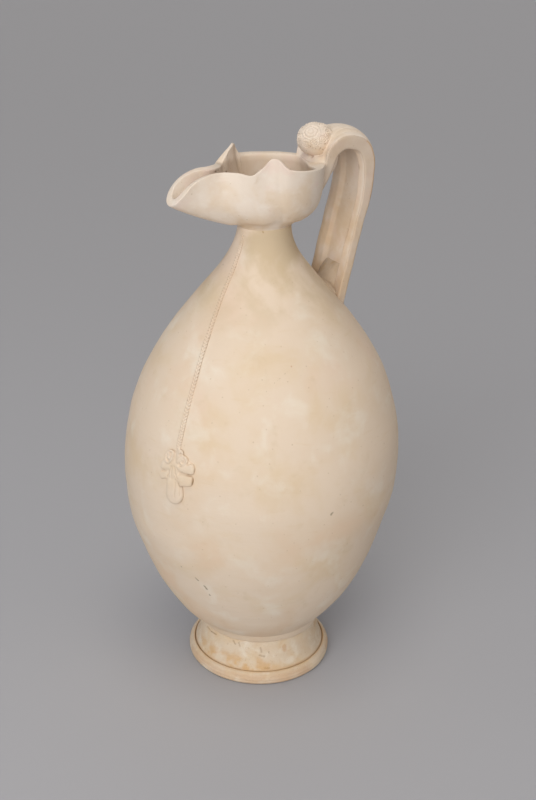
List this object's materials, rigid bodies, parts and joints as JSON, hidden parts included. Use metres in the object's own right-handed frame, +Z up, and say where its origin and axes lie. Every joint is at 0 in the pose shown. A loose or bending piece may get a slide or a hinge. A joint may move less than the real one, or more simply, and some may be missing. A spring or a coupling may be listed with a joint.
{
  "type": "ewer",
  "caption": "Hand-made earthenware ewer with an egg-shaped body on a turned foot, a long-beaked horned mouth and a channelled strap handle.",
  "frame": {"origin": "centre of the foot on the surface it stands on", "axes": "+Z up along the pot's axis, +Y towards the handle, -Y towards the tip of the beak, +X towards the side that has the palmette"},
  "size_m": [0.2104, 0.2104, 0.4243],
  "materials": {
    "cream_clay": "matte cream slip on earthenware",
    "pale_clay": "matte pale slip on earthenware",
    "ochre_clay": "matte cream slip with ochre staining",
    "shade_clay": "matte bare earthenware"
  },
  "bodies": {
    "root": {"body": "cream_clay", "foot": "ochre_clay", "foot_collar": "cream_clay", "mouth": "pale_clay", "handle": "pale_clay", "thumb_knob": "pale_clay", "handle_wad": "shade_clay", "neck_cord": "cream_clay", "palmette": "cream_clay"}
  },
  "joints": []
}
